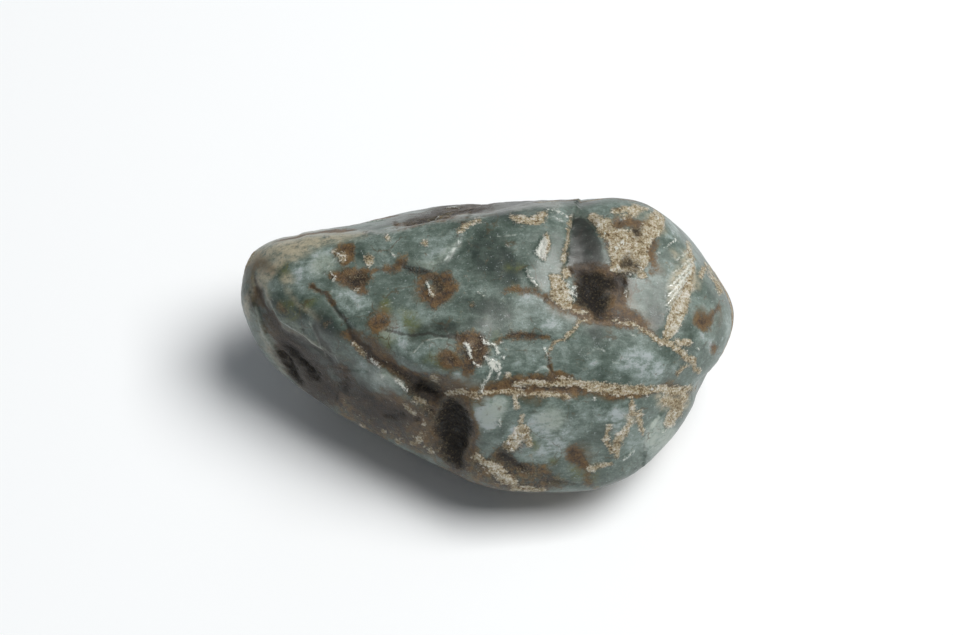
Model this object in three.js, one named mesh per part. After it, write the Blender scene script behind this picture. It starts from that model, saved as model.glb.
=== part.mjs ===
// A water-worn jadeite pebble, modelled as the one solid piece it is.
// Millimetres. +X runs along the long axis towards the blunt end, +Z is up,
// and the pebble rests on the plane z = 0 with its box centred over the origin.
//
// The body is a rounded polyhedron: every worn face is a plane at its own reach from
// the heart of the stone, and neighbouring faces flow into each other over the edge
// rounding. Knobs, hollows and furrows are then pressed in along the line from the heart.
// Bearings turn from +X towards +Y and rises are above the horizontal, both in degrees.

import * as THREE from 'three';
import { mergeVertices } from 'three/addons/utils/BufferGeometryUtils.js';

// Driving dimensions.
const pebble = {
  length: 59.5, // along x
  depth: 36.5, // along y
  height: 30.5, // along z
  restReach: 13.6, // the flat it rests on, straight below the heart
  edgeRounding: 0.8, // how far the worn faces blend into each other
  divisions: 18, // cuts along each edge of the starting icosahedron
  solverSteps: 12, // Newton steps that find the surface along one line
  mergeDistance: 1e-5, // corners of the unit icosahedron closer than this are one
};

// Worn faces; reach is how far each plane lies from the heart.
const wornFaces = [
  // top
  { name: 'crown', bearing: 223, rise: 77, reach: 15.1 },
  { name: 'shoulder', bearing: 282, rise: 54, reach: 14.9 },
  { name: 'roof by the blunt end', bearing: 334, rise: 71, reach: 17.8 },
  { name: 'slope behind the crest', bearing: 99, rise: 50, reach: 17.8 },

  // front
  { name: 'front panel', bearing: 276, rise: 26, reach: 15.0 },
  { name: 'left flank', bearing: 239, rise: 13, reach: 14.7 },
  { name: 'right of the front panel', bearing: 310, rise: 20, reach: 21.4 },
  { name: 'front skirt', bearing: 268, rise: -30, reach: 18.2 },
  { name: 'left skirt', bearing: 240, rise: -27, reach: 15.9 },
  { name: 'right skirt', bearing: 296, rise: -27, reach: 22.0 },

  // blunt end
  { name: 'nose bevel', bearing: 351, rise: 37, reach: 26.7 },
  { name: 'nose', bearing: 353, rise: -4, reach: 31.3 },
  { name: 'upper lobe', bearing: 329, rise: -11, reach: 25.5 },
  { name: 'lower lobe', bearing: 343, rise: -9, reach: 28.0 },
  { name: 'lobe corner', bearing: 321, rise: -20, reach: 26.0 },
  { name: 'back of the nose', bearing: 23, rise: 24, reach: 28.0 },

  // narrow end
  { name: 'tip', bearing: 182, rise: -1, reach: 30.9 },
  { name: 'tip low corner', bearing: 197, rise: -10, reach: 27.0 },
  { name: 'tip bevel', bearing: 195, rise: 43, reach: 24.4 },
  { name: 'tip corner', bearing: 153, rise: 14, reach: 32.2 },
  { name: 'tip underside', bearing: 211, rise: -16, reach: 24.3 },

  // back
  { name: 'long back', bearing: 101, rise: 35, reach: 16.9 },
  { name: 'high back', bearing: 90, rise: 30, reach: 18.6 },
  { name: 'back right', bearing: 43, rise: 30, reach: 26.3 },
  { name: 'back left', bearing: 121, rise: 27, reach: 25.4 },
  { name: 'back wall', bearing: 80, rise: 12, reach: 19.2 },
  { name: 'back wall left', bearing: 125, rise: 20, reach: 26.2 },

  // underside
  { name: 'under the blunt end', bearing: 0, rise: -38, reach: 25.6 },
  { name: 'under the narrow end', bearing: 180, rise: -36, reach: 25.0 },
  { name: 'under the back', bearing: 95, rise: -22, reach: 17.5 },
  { name: 'under the front', bearing: 268, rise: -40, reach: 17.4 },
  { name: 'under back right', bearing: 42, rise: -28, reach: 23.0 },
  { name: 'under back left', bearing: 140, rise: -26, reach: 22.5 },
  { name: 'under front left', bearing: 222, rise: -42, reach: 18.2 },
  { name: 'under front right', bearing: 318, rise: -42, reach: 21.5 },
  { name: 'belly right', bearing: 8, rise: -62, reach: 18.4 },
  { name: 'belly left', bearing: 186, rise: -60, reach: 17.6 },
  { name: 'belly front', bearing: 266, rise: -62, reach: 15.4 },
  { name: 'belly back', bearing: 94, rise: -62, reach: 15.9 },
];

// Knobs stand proud and hollows sink in; lift fades out over the radius.
const knobs = [
  { name: 'round knob', bearing: 246, rise: 54, radius: 4.0, lift: 0.7 },
  { name: 'small knob', bearing: 217, rise: 29, radius: 2.4, lift: 0.6 },
  { name: 'crust swell', bearing: 21, rise: 41, radius: 3.5, lift: 0.3 },
  { name: 'front swell', bearing: 303, rise: 19, radius: 5.5, lift: 0.4 },
  { name: 'back swell', bearing: 110, rise: 8, radius: 6.0, lift: 0.6 },
  { name: 'tip swell', bearing: 168, rise: -8, radius: 5.0, lift: 0.3 },
];
const hollows = [
  { name: 'deep pit', bearing: 356, rise: 51, radius: 2.6, depth: 1.4 },
  { name: 'hole in the left flank', bearing: 232, rise: 32, radius: 1.4, depth: 0.9 },
  { name: 'notch at the blunt end', bearing: 351, rise: -4, radius: 3.0, depth: 0.9 },
  { name: 'dent in the back', bearing: 72, rise: 14, radius: 4.0, depth: 0.8 },
  { name: 'dent behind the tip', bearing: 142, rise: 6, radius: 3.5, depth: 0.6 },
];

// Furrows follow a few [bearing, rise] points over the surface.
const furrows = [
  {
    name: 'split below the crest',
    path: [[35, 51], [16, 53]],
    width: 1.6,
    depth: 0.6,
  },
  {
    name: 'dark cavity',
    path: [[245, 33], [250, 24], [254, 7]],
    width: 2.6,
    depth: 1.4,
  },
  {
    name: 'furrow above the left flank',
    path: [[187, 34], [207, 35], [236, 34]],
    width: 1.4,
    depth: 0.5,
  },
  {
    name: 'main vein',
    path: [[240, 31], [257, 39], [278, 40], [309, 34], [322, 27], [338, 13], [347, 2]],
    width: 1.5,
    depth: 0.5,
  },
  {
    name: 'main vein round the back',
    path: [[347, 2], [356, -5], [10, -4], [24, 1], [48, 4], [66, 8]],
    width: 1.6,
    depth: 0.5,
  },
  {
    name: 'strip behind the crest',
    path: [[153, 33], [139, 44], [118, 45], [83, 49]],
    width: 1.6,
    depth: 0.4,
  },
];

// A unit vector from a bearing and a rise.
function direction(bearing, rise) {
  const around = THREE.MathUtils.degToRad(bearing);
  const up = THREE.MathUtils.degToRad(rise);
  return new THREE.Vector3(
    Math.cos(around) * Math.cos(up),
    Math.sin(around) * Math.cos(up),
    Math.sin(up),
  );
}

const facePlanes = wornFaces.map(({ bearing, rise, reach }) => ({
  normal: direction(bearing, rise),
  reach,
}));

// How far the rounded polyhedron reaches along a unit vector. The rounding is a soft
// maximum of the planes, so the root is found by Newton's method.
function bodyReach(ray) {
  const slopes = facePlanes.map((plane) => plane.normal.dot(ray));
  let reach = Math.min(
    ...facePlanes.map((plane, i) => (slopes[i] > 0 ? plane.reach / slopes[i] : Infinity)),
  );
  for (let step = 0; step < pebble.solverSteps; step++) {
    let sum = 0;
    let slope = 0;
    facePlanes.forEach((plane, i) => {
      const weight = Math.exp((reach * slopes[i] - plane.reach) / pebble.edgeRounding);
      sum += weight;
      slope += weight * slopes[i];
    });
    reach -= (pebble.edgeRounding * Math.log(sum) * sum) / slope;
  }
  return reach;
}

// The point of the body's surface at a bearing and a rise.
function surfacePoint(bearing, rise) {
  const ray = direction(bearing, rise);
  return ray.multiplyScalar(bodyReach(ray));
}

// 1 on the feature itself, fading smoothly to nothing about two widths away.
function fade(distance, width) {
  return Math.exp(-((distance / width) ** 2));
}

const bumps = [
  ...knobs.map((knob) => ({ ...knob, push: knob.lift })),
  ...hollows.map((hollow) => ({ ...hollow, push: -hollow.depth })),
].map(({ bearing, rise, radius, push }) => ({
  centre: surfacePoint(bearing, rise),
  radius,
  push,
}));

const grooves = furrows.map(({ path, width, depth }) => {
  const points = path.map(([bearing, rise]) => surfacePoint(bearing, rise));
  const runs = points.slice(1).map((end, i) => new THREE.Line3(points[i], end));
  return { runs, width, depth };
});

// How far a point of the body is pushed out (or in, below zero) by all the features.
function relief(point) {
  let push = 0;
  for (const bump of bumps) {
    push += bump.push * fade(point.distanceTo(bump.centre), bump.radius);
  }
  const nearest = new THREE.Vector3();
  for (const { runs, width, depth } of grooves) {
    const distances = runs.map((run) => {
      run.closestPointToPoint(point, true, nearest);
      return nearest.distanceTo(point);
    });
    push -= depth * fade(Math.min(...distances), width);
  }
  return push;
}

// Starts from an icosahedron stretched to the pebble's proportions, so that its
// triangles come out about equally large all over the stone.
function makePebble() {
  const ball = new THREE.IcosahedronGeometry(1, pebble.divisions);
  ball.deleteAttribute('normal');
  ball.deleteAttribute('uv');
  const surface = mergeVertices(ball, pebble.mergeDistance);
  const stretch = new THREE.Vector3(pebble.length, pebble.depth, pebble.height);
  const position = surface.getAttribute('position');
  const ray = new THREE.Vector3();
  const point = new THREE.Vector3();
  for (let i = 0; i < position.count; i++) {
    ray.fromBufferAttribute(position, i).multiply(stretch).normalize();
    point.copy(ray).multiplyScalar(bodyReach(ray));
    point.addScaledVector(ray, relief(point));
    point.z = Math.max(point.z, -pebble.restReach);
    position.setXYZ(i, point.x, point.y, point.z);
  }
  return surface;
}

const geometry = makePebble();
geometry.computeBoundingBox();
const { min, max } = geometry.boundingBox;
geometry.translate(-(min.x + max.x) / 2, -(min.y + max.y) / 2, -min.z);

const stone = new THREE.Mesh(
  geometry,
  new THREE.MeshStandardMaterial({ color: 0x6f7f7c, roughness: 0.4, metalness: 0 }),
);
stone.name = 'jadeite_stone';

const group = new THREE.Group();
group.add(stone);
export default group;
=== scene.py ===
import math

import bmesh
import bpy
import numpy as np
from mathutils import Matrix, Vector, noise


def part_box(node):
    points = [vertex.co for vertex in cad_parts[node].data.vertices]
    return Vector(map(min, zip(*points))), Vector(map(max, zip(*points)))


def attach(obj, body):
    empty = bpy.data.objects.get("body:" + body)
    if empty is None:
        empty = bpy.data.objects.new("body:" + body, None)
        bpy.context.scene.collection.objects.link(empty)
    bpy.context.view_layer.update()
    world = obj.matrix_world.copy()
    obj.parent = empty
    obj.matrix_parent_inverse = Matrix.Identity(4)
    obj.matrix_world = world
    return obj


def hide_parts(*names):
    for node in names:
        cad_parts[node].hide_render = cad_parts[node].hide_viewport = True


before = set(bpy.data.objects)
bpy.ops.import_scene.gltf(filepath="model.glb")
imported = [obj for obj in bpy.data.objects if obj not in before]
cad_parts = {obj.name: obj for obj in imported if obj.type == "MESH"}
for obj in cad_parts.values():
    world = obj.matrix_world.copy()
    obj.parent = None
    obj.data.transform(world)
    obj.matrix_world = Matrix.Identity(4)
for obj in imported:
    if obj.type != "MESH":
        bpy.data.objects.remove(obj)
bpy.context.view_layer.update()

mm = 0.001

# The drawing board. Marks on the stone are drawn flat on it in millimetres (across, up), as
# seen from an eye straight in front of it, and laid onto the side that faces that eye.
stoneLow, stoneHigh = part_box("jadeite_stone")
heartShare = (0.498, 0.483, 0.446)  # where the board stands, as a share of the stone's box
heart = np.array([low + (high - low) * share
                  for low, high, share in zip(stoneLow, stoneHigh, heartShare)]) / mm
board = {
    "bearing": 270,        # degrees, the side of the stone it faces
    "rise": 60,            # degrees above level
    "eye": 322,            # mm in front of the board
    "aim": (-1.28, 3.35),  # mm on the board, the point the eye looks at
    "past": -.3,           # how far round the outline drawn marks reach, see facing
}


def boardAxes():
    bearing, rise = math.radians(board["bearing"]), math.radians(board["rise"])
    out = np.array([math.cos(bearing) * math.cos(rise),
                    math.sin(bearing) * math.cos(rise), math.sin(rise)])
    right = np.array([-math.sin(bearing), math.cos(bearing), 0.0])
    up = np.cross(out, right)
    eye = heart + right * board["aim"][0] + up * board["aim"][1] + out * board["eye"]
    return right, up, out, eye


def smooth(low, high, value):
    t = np.clip((value - low) / (high - low), 0, 1)
    return t * t * (3 - 2 * t)


shot = {
    "lens": 100,       # mm
    "sensor": 36,      # mm
    "nearest": .01,    # metres, nothing closer is seen
}


# the camera looks at the board square on
def addCamera():
    right, up, out, eye = boardAxes()
    camera = bpy.data.cameras.new("camera")
    camera.lens = shot["lens"]
    camera.sensor_width = shot["sensor"]
    camera.clip_start = shot["nearest"]
    holder = bpy.data.objects.new("camera", camera)
    bpy.context.scene.collection.objects.link(holder)
    holder.location = Vector(eye * mm)
    holder.rotation_euler = Vector(out).to_track_quat("Z", "Y").to_euler()
    bpy.context.scene.camera = holder


studio = {
    "floorSize": 4.0,    # metres, like the places and sizes of the lamps
    "floorColour": (0.90, 0.92, 0.94),
    "floorRoughness": .9,
    "floorShine": .1,
    "sky": (0.88, 0.94, 1.0),
    "skyStrength": 0.17,
    "key": {"place": (0.41, 0.02, 0.92), "size": 0.55, "watts": 11.4, "colour": (1.0, 0.985, 0.96)},
    "rim": {"place": (0.05, 0.70, 0.30), "size": 0.45, "watts": 0.2, "colour": (0.93, 0.97, 1.0)},
}


def addLamp(name, place, size, watts, colour):
    lamp = bpy.data.lights.new(name, "AREA")
    lamp.size = size
    lamp.energy = watts
    lamp.color = colour
    holder = bpy.data.objects.new(name, lamp)
    bpy.context.scene.collection.objects.link(holder)
    holder.location = place
    toStone = Vector(place) - Vector(heart * mm)
    holder.rotation_euler = toStone.to_track_quat("Z", "Y").to_euler()


def addStudio():
    bpy.ops.mesh.primitive_plane_add(size=studio["floorSize"], location=(0, 0, 0))
    floor = bpy.context.object
    floor.name = "floor"
    paper = bpy.data.materials.new("paper")
    paper.use_nodes = True
    shader = paper.node_tree.nodes["Principled BSDF"]
    shader.inputs["Base Color"].default_value = (*studio["floorColour"], 1)
    shader.inputs["Roughness"].default_value = studio["floorRoughness"]
    shader.inputs["Specular IOR Level"].default_value = studio["floorShine"]
    floor.data.materials.append(paper)
    world = bpy.data.worlds.new("studio")
    bpy.context.scene.world = world
    world.use_nodes = True
    background = world.node_tree.nodes["Background"]
    background.inputs["Color"].default_value = (*studio["sky"], 1)
    background.inputs["Strength"].default_value = studio["skyStrength"]
    addLamp("key", **studio["key"])
    addLamp("rim", **studio["rim"])
    bpy.context.scene.view_settings.view_transform = "Standard"
    print("camera and light set")


# Every mark is a spot (across, up, half width) in millimetres on the board, or a line through
# several in a list. Where the board cannot see, they lie round the stone as (bearing, rise, half
# width), the first two in degrees from the heart.

rust = {"front": [
    # patch under the crest and the three-cornered one below it, with the line to the right
    [(-17.9, 12, .4), (-17, 11.6, .8), (-16.8, 10.6, .6), (-17.3, 10, .4)], [(-18.6, 8.2, .5),
     (-17, 8.2, .8), (-15.6, 8.4, 1.1), (-14.9, 8.2, .8)], [(-15.8, 7.8, 1), (-15.3, 6.7, .5),
     (-15.5, 6.2, .3)], [(-15, 9.2, .45), (-12.5, 9.1, .4), (-10.9, 9.4, .5), (-10.3, 10.2, .55)],
    # heart-shaped patch
    [(-8.1, 7.5, .6), (-7.4, 8.4, .4), (-6, 8.1, .4), (-4.7, 7.9, .7), (-4.3, 7, .9), (-5.2, 6.3, .7),
     (-6.6, 5.3, .8), (-6.9, 4.5, .6)], [(-8.2, 7.4, .5), (-7.7, 6.2, .6), (-7, 5.2, .5)],
    # round stain, crack and furrow on the left
    [(-13.4, 2.6, 1.15), (-12.7, 2.9, 1)], [(-21.3, 7.2, .25), (-20, 6.2, .15), (-18.8, 5, .2)],
    [(-17.2, 1.6, .3), (-15.9, .3, .7), (-14, -1.1, .75), (-12.2, -2.3, .6), (-10.3, -3.3, .6),
     (-8.6, -4.2, .7)], [(-28.3, 7.2, .2), (-27.8, 5.2, .25), (-27, 3.8, .3), (-25.4, 2.3, .4)],
    # round the knob
    [(-3.4, 1, .4), (-1.5, .8, .8), (-1.2, -.6, 1.1), (-1.4, -2, 1.1), (-2.3, -3, .9)],
    [(-4.5, -1.7, 1), (-3.2, -2.4, .6)], [(-8.6, -5, .5), (-6.5, -6.2, .6), (-6.6, -8.4, .5)],
    [(1.2, .6, .25), (3, 1.05, .25), (5.5, 1.1, .25), (7.6, .85, .2)],
    # round the deep pit and the crust
    [(14.6, 8.8, .4), (15.4, 7, .5), (15.4, 5.2, .6), (16.8, 3.9, .6), (18.3, 3.2, .6),
     (19.6, 1.7, .3)], [(9.9, 8.9, .3), (11.6, 8.5, .4), (13.5, 9.1, .6)], [(15.7, 14.7, .5),
     (17.6, 15.2, .5), (19.4, 14.8, .5)], [(14.9, 13.4, .5), (14.6, 12, .35)], [(20.2, 11, .25),
     (20.4, 9.9, .25), (20.2, 8.7, .25)], [(19.5, 14.5, .3), (19.4, 12.8, .4)], [(16.7, 10.1, .6),
     (17.4, 9.6, .5)], (18.4, 13.4, .5), [(8.4, 5, .5), (11, 4, .7), (13.5, 3.6, .7), (16, 3.2, .8),
     (18.4, 2.4, .7), (20.4, 1, .4)], [(2, 6.6, .2), (4, 6.9, .35), (6, 6.2, .35), (7.5, 5.6, .4),
     (8.2, 5, .4)], [(10.6, 8.9, .6), (12.6, 9.2, .8), (14.6, 9, .8), (16, 7.4, .9), (16.2, 5.2, .8),
     (14.6, 3.8, .6)], [(15.6, 14.3, .6), (17.4, 15, .5), (19.3, 14.6, .5), (20, 12.6, .5),
     (20.3, 10.4, .4)],
    # strip behind the crest
    [(-10.8, 14.4, .35), (-8, 15, .6), (-5, 15.7, .7), (-2, 16.4, .6), (.6, 16.9, .4)], (-11, 14.5, .4),
    # along the main vein
    [(-5.6, -5.7, .5), (-1, -6, .45), (1.5, -5.2, .85), (3.5, -4.8, 1.1), (7, -4.9, 1), (10, -5.3, .8),
     (13, -5.3, .55), (18, -5.5, .4), (24, -5.4, .3)], [(7.8, -3.9, .35), (8.8, -3.7, .4),
     (10.5, -4.2, .2)], [(-5.6, -5.9, .4), (-2.6, -6.4, .35), (-2.2, -7.3, .4), (-1.9, -9, .3),
     (-1.4, -11, .35), (-1.5, -13.5, .4)], [(15, -6.1, .3), (18.5, -6.1, .3)], [(8.5, -3.9, .25),
     (7.8, -2.8, .2), (7.3, -1.2, .12)],
    # spots at the blunt end and low down
    [(26.2, 2.6, .8), (27.2, 3.6, .35), (28, 4.4, .3)], (27.6, -.3, .5), [(10.6, -13.2, .9),
     (11.8, -14.4, .6)], [(-14.8, -6.6, .8), (-12.2, -7.5, 1.2), (-9.8, -8.1, 1.1), (-8, -9.4, .8)],
    [(-17.8, -6.4, .7), (-19.8, -5, .8)], [(-17.4, -3, .6), (-16.6, -4.8, .6)], [(-25, .3, .9),
     (-22.6, -1.8, 1.1), (-20.6, -3.6, .9)],
], "round": [
    # with the veins, round the back and beneath
    [(347, 1, .5), (358, 5, .7), (12, 8, .8), (30, 7, .6), (48, 4, .8), (66, 2, .5)], [(30, 7, .5),
     (38, 20, .5), (46, 34, .6), (62, 46, .4)], [(93, 26, 1.1), (101, 19, .8), (99, 12, .4)],
    [(128, 12, 1.5), (136, 6, .9)], [(152, 30, .9), (160, 20, .6)], [(74, -10, 1.3), (82, -16, .9)],
    (20, -14, 1.2), [(114, -22, 1.6), (132, -26, 1.2)], [(226, -26, .6), (250, -44, .7), (300, -58, .8),
     (340, -46, .7), (4, -26, .5)], (185, -20, 1.4), [(285, -34, 1.2), (296, -28, .8)],
]}

dirtAndShadow = {"front": [
    # deep pit, dark cavity and the hole beside it
    [(11.8, 8.2, .7), (12.4, 6.2, 1.5), (13.4, 4.7, 1.1)], [(13, 8, 1.1), (15, 7.2, .9)],
    (14.4, 5.2, .7), [(16, 8.4, .5), (16.6, 7.2, .3)], (11.3, 5.2, .5), (10.9, 9.3, .4),
    [(-4.9, -7.4, 1.1), (-4.4, -8.8, 2.1), (-4, -10.6, 2.3), (-4.2, -12.6, 1.8), (-3.6, -14.2, .9)],
    (-6, -10.4, .8), (-2.6, -8.2, .7), [(-9, -5.4, .45), (-7.8, -5.2, .65), (-6.4, -5.8, .5)],
    (-5.6, -4.6, .3), [(-7, -7.6, .4), (-6.6, -8.8, .3)],
    # left flank
    (-19.3, 2.6, .3), [(-11.6, -3.2, .2), (-9.4, -4.2, .3)], [(-24.6, -.2, .4), (-23, -1.6, .7),
     (-21.4, -3.2, .9), (-20.4, -4.2, .5)], [(-17.2, -3.6, .25), (-16.6, -5.4, .2)],
    [(-12.5, -8.2, .25), (-10, -8.6, .3)], (-8.4, -8.8, .4),
    # in the rust
    [(-6.3, 7.9, .4), (-6, 7.2, .6), (-5.6, 6.9, .4)], [(-15.5, 8.3, .7), (-15.2, 7.4, .3)],
    (-4.4, -1.8, .4), [(-16.4, 8, .5), (-15.2, 8.2, .8)], [(-1.3, .2, .3), (-1, -1.6, .35)],
    # painted shadow under the edge of the flake, and dark marks behind the crest
    [(-10, 9.5, .25), (-8.5, 9.1, .4), (-7, 9, .2)], (-11, 14.4, .35), [(-9.6, 14.8, .4),
     (-6, 15.5, .5), (-3, 16.2, .45)], [(-3.2, 14.8, .12), (-2.2, 14.9, .12)],
    # in the crust and along the vein, where the thin line in the main vein is a painted shadow
    (18.3, 13.9, .7), (15, 14.4, .3), [(17, 10.3, .8), (18.2, 9.8, .6)], [(16.2, 8.7, .35),
     (17, 8.8, .3)], [(15.9, 14.8, .2), (16.4, 14.5, .2)], [(4, -4.95, .06), (5.6, -4.9, .06)],
    [(13.2, 3.5, .12), (15, 3.3, .2)],
    # pinholes
    (-15, 13.5, .16), (-3.6, 13.2, .22), (-1.7, 4.7, .17), (7.3, 5.4, .16), (-22.1, 1.9, .17),
    # along the bottom
    [(1.2, -13.4, .3), (3.2, -14.1, .4), (5, -15.4, .3)], [(7, -16.6, .2), (11, -16.9, .2)],
    [(3.9, -12.4, .35), (4.6, -11.6, .25)],
], "round": [
    [(70, 13, .9), (75, 10, .6)], (141, 6, .8), [(88, -5, .9), (96, -10, .6)], (30, 6, .4),
    (118, -24, .8), [(252, -44, .7), (262, -48, .5)], (320, -50, .8), (200, -24, 1), (94, 24, .4),
    (46, 34, .3), [(185, 4, .5), (190, -4, .7)],
]}

tan = {"front": [
    # crest
    [(-3.6, 13.8, .3), (-2.6, 14.5, .4), (-.8, 15.2, .25)], [(2.9, 15.5, .3), (4.6, 14.9, .45),
     (6.2, 15.1, .55), (7.2, 15.6, .35)],
    # creamy flake
    [(7.3, 13.2, .35), (7.5, 12, .5), (7.2, 11, .45)], [(10.4, 15.6, .25), (10, 14.4, .4),
     (9.8, 12.8, .25), (9.7, 11.2, .25), (9.5, 10.3, .35)], [(15.2, 16.3, .35), (17, 16.5, .45),
     (19.3, 16.6, .3)],
    # crumbs on the upper face
    (-14.2, 10.5, .55), (-7.5, 12.3, .4), (-12, 13.1, .35), [(-18.4, 11.4, .2), (-17.5, 10.5, .3)],
    (-15.9, 6.7, .2), (-6.9, 6.2, .3),
    # crust beside the dark facet
    [(13, 15.8, .6), (14, 14.6, 1.1), (15.3, 13.2, .9)], (17, 11.4, 2.3), (18.3, 10.6, 1.7),
    (16, 9.8, 1.2), (15.6, 12.9, .6), (18.8, 12.4, 1.1), [(16.4, 13.4, .8), (17.6, 13.2, .8)],
    (18.8, 8.6, .6), [(16.4, 15.5, .25), (18.4, 16.4, .3)],
    # crust left of the deep pit and along its lower rim
    [(8.3, 8, .9), (8.8, 6.4, 1.3), (9.7, 5, .8)], (9.8, 8.7, .75), [(10.5, 4.2, .3), (12.2, 3.9, .15)],
    # upper vein
    [(9.7, 1.2, .35), (10.6, 2, .3), (11.2, 2.9, .25), (13, 3.4, .1)], [(15.4, 3.2, .15),
     (17.3, 2.6, .2), (19.2, 1.5, .25), (21, .6, .4), (22.6, -.2, .45), (23.8, -1.2, .55),
     (24.9, -1.9, .55), (25.5, -3.3, .25)], [(23.3, -3.2, .35), (24.2, -2.6, .2)], [(23.2, .3, .3),
     (24.6, .2, .5)], [(9.6, .9, .25), (8.4, .1, .25), (7.7, -.8, .2)],
    # strip at the blunt end
    [(21.9, .8, .5), (22.6, 2.4, .85), (23.4, 4.4, .9), (24.2, 6.4, .8), (24.9, 8.6, .55),
     (25.1, 10.6, .45), (24.6, 12.2, .35)], [(27.2, 9.6, .25), (27.6, 8, .35), (28.3, 6.5, .4)],
    # main vein, lower and upper band
    [(-5.2, -5.8, .3), (-2, -6, .25), (.5, -5.8, .3), (3, -5.5, .4), (5, -5.9, .25), (7.5, -6.1, .35),
     (9.6, -6.3, .3)], (2.6, -3.7, .4), [(3.3, -4.6, .3), (5.5, -4.6, .35), (7.5, -4.8, .4),
     (9.5, -4.7, .45), (11, -4.8, .5), (13, -5.1, .65), (15, -5.3, .55), (17.5, -5.4, .6),
     (19.8, -5.4, .6), (22, -5.6, .5), (24.8, -5.3, .4)], [(3.5, -6.4, .35), (3.6, -7.6, .3)],
    # lower face
    [(4.1, -8.6, .2), (3.9, -10.2, .5), (3.4, -11.6, 1), (2.6, -12.2, .8)], [(4.4, -10.4, .5),
     (5.2, -11.8, .5)], [(17.4, -6.4, .3), (17.6, -8.5, .4), (18.4, -8.3, .45), (18.6, -9.8, .4),
     (19.1, -10.8, .2)], [(17.4, -9.4, .3), (16.3, -11, .45), (15.6, -12.4, .55), (15.7, -13.3, .35)],
    [(14.9, -10, .4), (14.6, -11.6, .35), (15, -12.8, .35)], [(21.6, -7, .5), (23, -6.8, .7),
     (22.8, -8.5, .8), (22.3, -9.4, .5)], (23.8, -6.2, .6), [(12.5, -15, .35), (15, -14.3, .25)],
    # low left and along the bottom
    [(-8, -11.4, .45), (-9, -11.9, .3)], (-7.6, -9.8, .3), (-6.8, -12.8, .3), [(-8.8, -6.4, .25),
     (-7.6, -6.9, .35)], [(-6.8, -3.9, .25), (-5.8, -4.6, .2)], (-15.2, -9.7, .35), (-12.6, -10.4, .3),
    (-10.8, -11.6, .35), (-13.9, -8.9, .25), [(-9.8, -7.4, .3), (-8.9, -8, .3)], [(-1.2, -13.6, .6),
     (.6, -14.8, .65), (2, -15.9, .75), (3.2, -16.6, .5)], [(3, -17.3, .35), (7, -17.4, .35)],
    [(-15, -1.2, .3), (-16, -.2, .2)],
], "round": [
    # the main vein and a branch go on round the back
    [(346, 2, .3), (358, 5, .4), (12, 8, .45), (30, 7, .35), (48, 4, .4), (66, 2, .25)], [(30, 7, .3),
     (38, 20, .25), (46, 34, .35), (62, 46, .2)], [(22, 34, 1.2), (28, 28, .8)], [(111, 38, .7),
     (120, 42, 1)], [(164, 14, .8), (172, 6, .4)], (205, -32, 1.3), [(300, -36, 1.4), (315, -30, .9)],
    [(60, -24, 1.1), (68, -30, .8)], [(140, -12, .5), (126, -4, .3), (108, 2, .25), (92, 3, .2)],
    [(228, -24, .3), (250, -43, .3), (300, -58, .4), (340, -46, .35), (3, -27, .3)], [(8, 22, .4),
     (16, 14, .3)],
]}

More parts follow.
